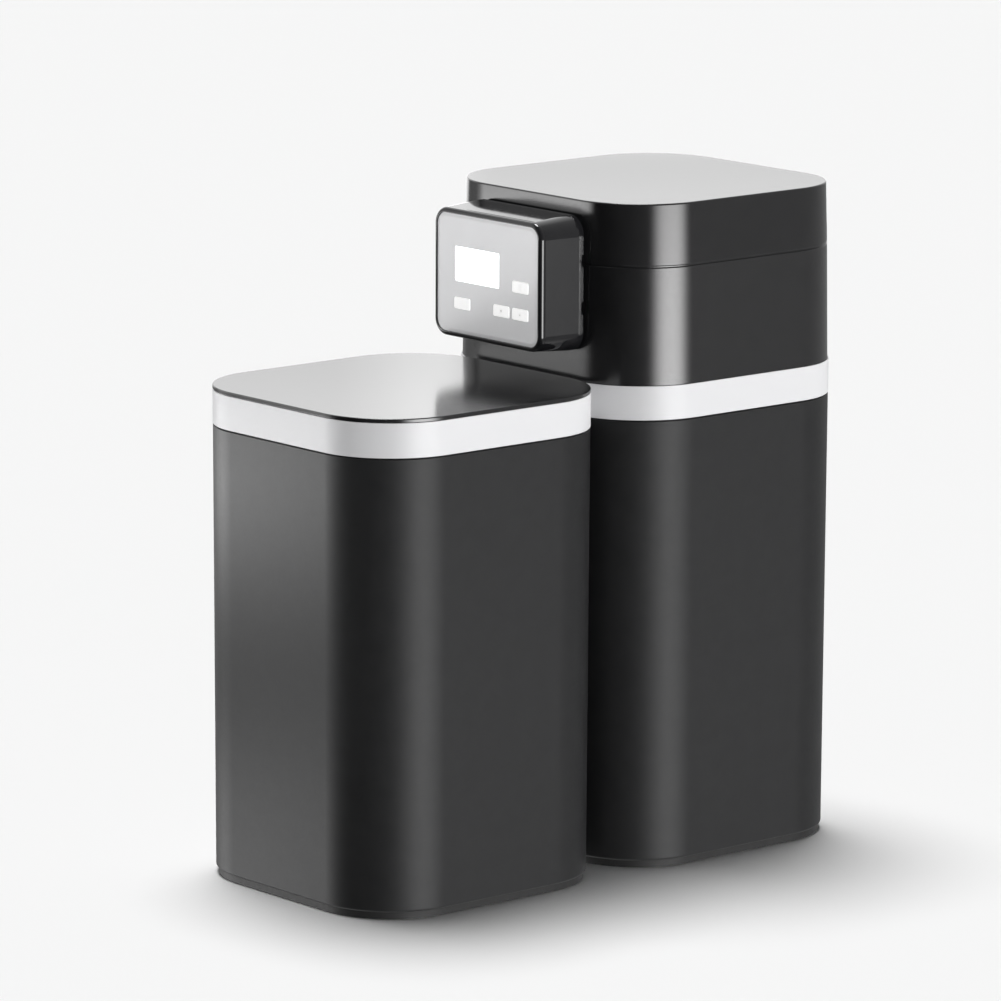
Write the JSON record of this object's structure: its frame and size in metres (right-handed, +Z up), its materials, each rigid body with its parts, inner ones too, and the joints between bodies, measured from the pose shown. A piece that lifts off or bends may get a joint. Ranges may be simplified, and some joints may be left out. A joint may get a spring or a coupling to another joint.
{
  "type": "water softener",
  "caption": "Two-cabinet water softener: low salt cabinet with lift-off lid, tall resin cabinet with geared ceramic disc valve, rear ports and an overhanging display pod with keys.",
  "frame": {"origin": "on the floor, at the middle of the two cabinets' outline", "axes": "+Z up; the display faces -Y; the salt cabinet is at -Y and the resin cabinet at +Y; +X is to the right of someone facing the display"},
  "size_m": [0.3, 0.604, 0.638],
  "materials": {
    "body_black": "fine satin moulded finish",
    "cover_black": "smooth satin moulded finish",
    "band_silver": "satin silver paint",
    "plinth_black": "moulded, matte",
    "pod_gloss": "piano gloss",
    "pod_back_black": "moulded, satin",
    "fascia_silver": "satin silver film",
    "key_white": "silicone touch, matte",
    "lcd_glass": "clear window over the display",
    "lcd_body": "backlit display body",
    "circuit_board": "solder mask",
    "white_plastic": "moulded, natural white",
    "valve_plastic": "glass filled moulding",
    "nozzle_colour": "moulded",
    "gear_plastic": "acetal, natural",
    "disc_ceramic": "lapped face",
    "ball_plastic": "moulded",
    "steel_screws": "bright steel",
    "vessel_shell": "wound glass fibre shell",
    "resin_beads": "small amber beads",
    "tube_clear": "translucent tube",
    "rubber_black": "moulded rubber"
  },
  "bodies": {
    "cabinets": {"air_check_cage": "white_plastic", "brine_band": "band_silver", "brine_elbow": "valve_plastic", "brine_line": "tube_clear", "brine_plinth": "plinth_black", "brine_riser": "white_plastic", "brine_tank": "body_black", "brine_valve": "valve_plastic", "brine_well": "white_plastic", "cap_screws": "steel_screws", "control_board": "circuit_board", "drive_motor": "steel_screws", "fascia": "fascia_silver", "fixed_disc": "disc_ceramic", "gear_plate": "pod_back_black", "head_cover": "cover_black", "injector_cap": "valve_plastic", "injector_nozzle": "nozzle_colour", "lcd_module": "lcd_body", "lcd_window": "lcd_glass", "line_bushes": "rubber_black", "lower_basket": "white_plastic", "meter_cage": "white_plastic", "neck_oring": "rubber_black", "overflow_grommet": "rubber_black", "pod_back": "pod_back_black", "pod_bezel": "pod_gloss", "pod_duct": "pod_back_black", "pod_housing": "pod_gloss", "pod_screws": "steel_screws", "position_board": "circuit_board", "power_gland": "rubber_black", "pressure_vessel": "vessel_shell", "resin_band": "band_silver", "resin_bed": "resin_beads", "resin_cabinet": "body_black", "resin_plinth": "plinth_black", "riser_tube": "white_plastic", "salt_grid": "white_plastic", "upper_basket": "white_plastic", "valve_body": "valve_plastic", "valve_cap": "valve_plastic", "valve_nut": "valve_plastic", "vessel_boot": "plinth_black", "well_cap": "white_plastic"},
    "head_top": {"head_lid": "cover_black"},
    "salt_lid": {"brine_lid": "cover_black"},
    "float": {"float_rod": "steel_screws", "brine_float": "white_plastic"},
    "ball": {"air_check_ball": "ball_plastic"},
    "disc_rotor": {"moving_disc": "disc_ceramic", "disc_gear": "gear_plastic"},
    "idler": {"idler_gear": "gear_plastic"},
    "pinion": {"motor_pinion": "gear_plastic"},
    "impeller": {"meter_impeller": "white_plastic"},
    "key_regenerate": {"regenerate_key": "key_white"},
    "key_menu": {"menu_key": "key_white"},
    "key_down": {"down_key": "key_white"},
    "key_up": {"up_key": "key_white"}
  },
  "joints": [
    {"name": "head_lid_lift", "type": "slide", "parent": "cabinets", "child": "head_top", "axis": [0, 0, 1], "range_m": [0, 0.15]},
    {"name": "brine_lid_lift", "type": "slide", "parent": "cabinets", "child": "salt_lid", "axis": [0, 0, 1], "range_m": [0, 0.022]},
    {"name": "float_rise", "type": "slide", "parent": "cabinets", "child": "float", "axis": [0, 0, 1], "range_m": [0, 0.02]},
    {"name": "ball_rise", "type": "slide", "parent": "cabinets", "child": "ball", "axis": [0, 0, 1], "range_m": [0, 0.006]},
    {"name": "disc_spin", "type": "hinge", "parent": "cabinets", "child": "disc_rotor", "pos_m": [0, 0.152, 0.52205], "axis": [0, 0, 1], "continuous": true},
    {"name": "idler_spin", "type": "hinge", "parent": "cabinets", "child": "idler", "pos_m": [0, 0.096, 0.557], "axis": [0, 0, 1], "continuous": true},
    {"name": "pinion_spin", "type": "hinge", "parent": "cabinets", "child": "pinion", "pos_m": [-0.02858, 0.0795, 0.555], "axis": [0, 0, 1], "continuous": true},
    {"name": "impeller_spin", "type": "hinge", "parent": "cabinets", "child": "impeller", "pos_m": [-0.05, 0.2722, 0.5], "axis": [0, 1, 0], "continuous": true},
    {"name": "regenerate_press", "type": "slide", "parent": "cabinets", "child": "key_regenerate", "axis": [0, 1, 0], "range_m": [0, 0.0006], "stiffness_N_per_m": 2000, "springref_m": -0.0004},
    {"name": "menu_press", "type": "slide", "parent": "cabinets", "child": "key_menu", "axis": [0, 1, 0], "range_m": [0, 0.0006], "stiffness_N_per_m": 2000, "springref_m": -0.0004},
    {"name": "down_press", "type": "slide", "parent": "cabinets", "child": "key_down", "axis": [0, 1, 0], "range_m": [0, 0.0006], "stiffness_N_per_m": 2000, "springref_m": -0.0004},
    {"name": "up_press", "type": "slide", "parent": "cabinets", "child": "key_up", "axis": [0, 1, 0], "range_m": [0, 0.0006], "stiffness_N_per_m": 2000, "springref_m": -0.0004}
  ],
  "couplings": [
    {"joint": "idler_spin", "follows": "disc_spin", "ratio": -3},
    {"joint": "pinion_spin", "follows": "disc_spin", "ratio": 8}
  ]
}
